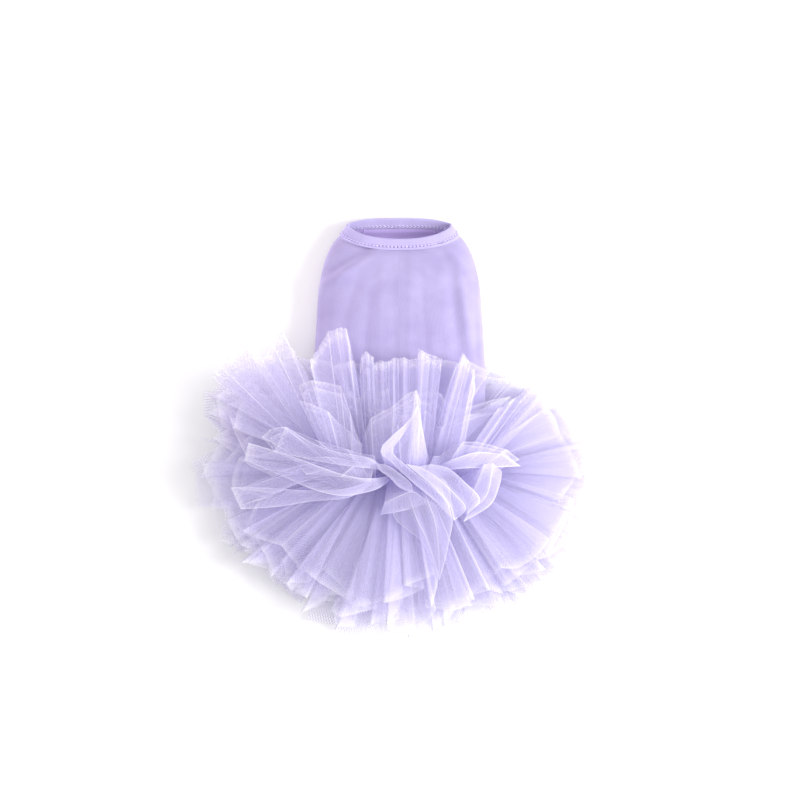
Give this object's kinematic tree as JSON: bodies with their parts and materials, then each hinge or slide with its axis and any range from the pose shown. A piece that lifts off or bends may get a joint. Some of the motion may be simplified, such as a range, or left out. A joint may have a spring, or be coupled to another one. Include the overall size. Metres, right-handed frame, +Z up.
{
  "type": "tutu dress",
  "caption": "Small sleeveless lavender tutu dress laid flat, with a jersey tube bodice, a bound neck, two bound leg holes beneath and a full gathered tulle skirt fanned round the waist.",
  "frame": {"origin": "centre of the dress's footprint on the surface that it lies on", "axes": "+Z up from the surface, +Y towards the neck, +X to the right as the shown side is seen with the neck at the top"},
  "size_m": [0.403, 0.4215, 0.0888],
  "materials": {
    "jersey": "matt cotton jersey, fine plain knit",
    "binding": "matt folded jersey binding, topstitched",
    "tulle": "sheer soft net with a faint sheen"
  },
  "bodies": {
    "root": {"back_panel": "jersey", "belly_panel": "jersey", "neck_binding": "binding", "leg_binding_left": "binding", "leg_binding_right": "binding", "tulle_under_low": "tulle", "tulle_under_high": "tulle", "tulle_over_low": "tulle", "tulle_over_high": "tulle", "tulle_centre": "tulle"}
  },
  "joints": []
}
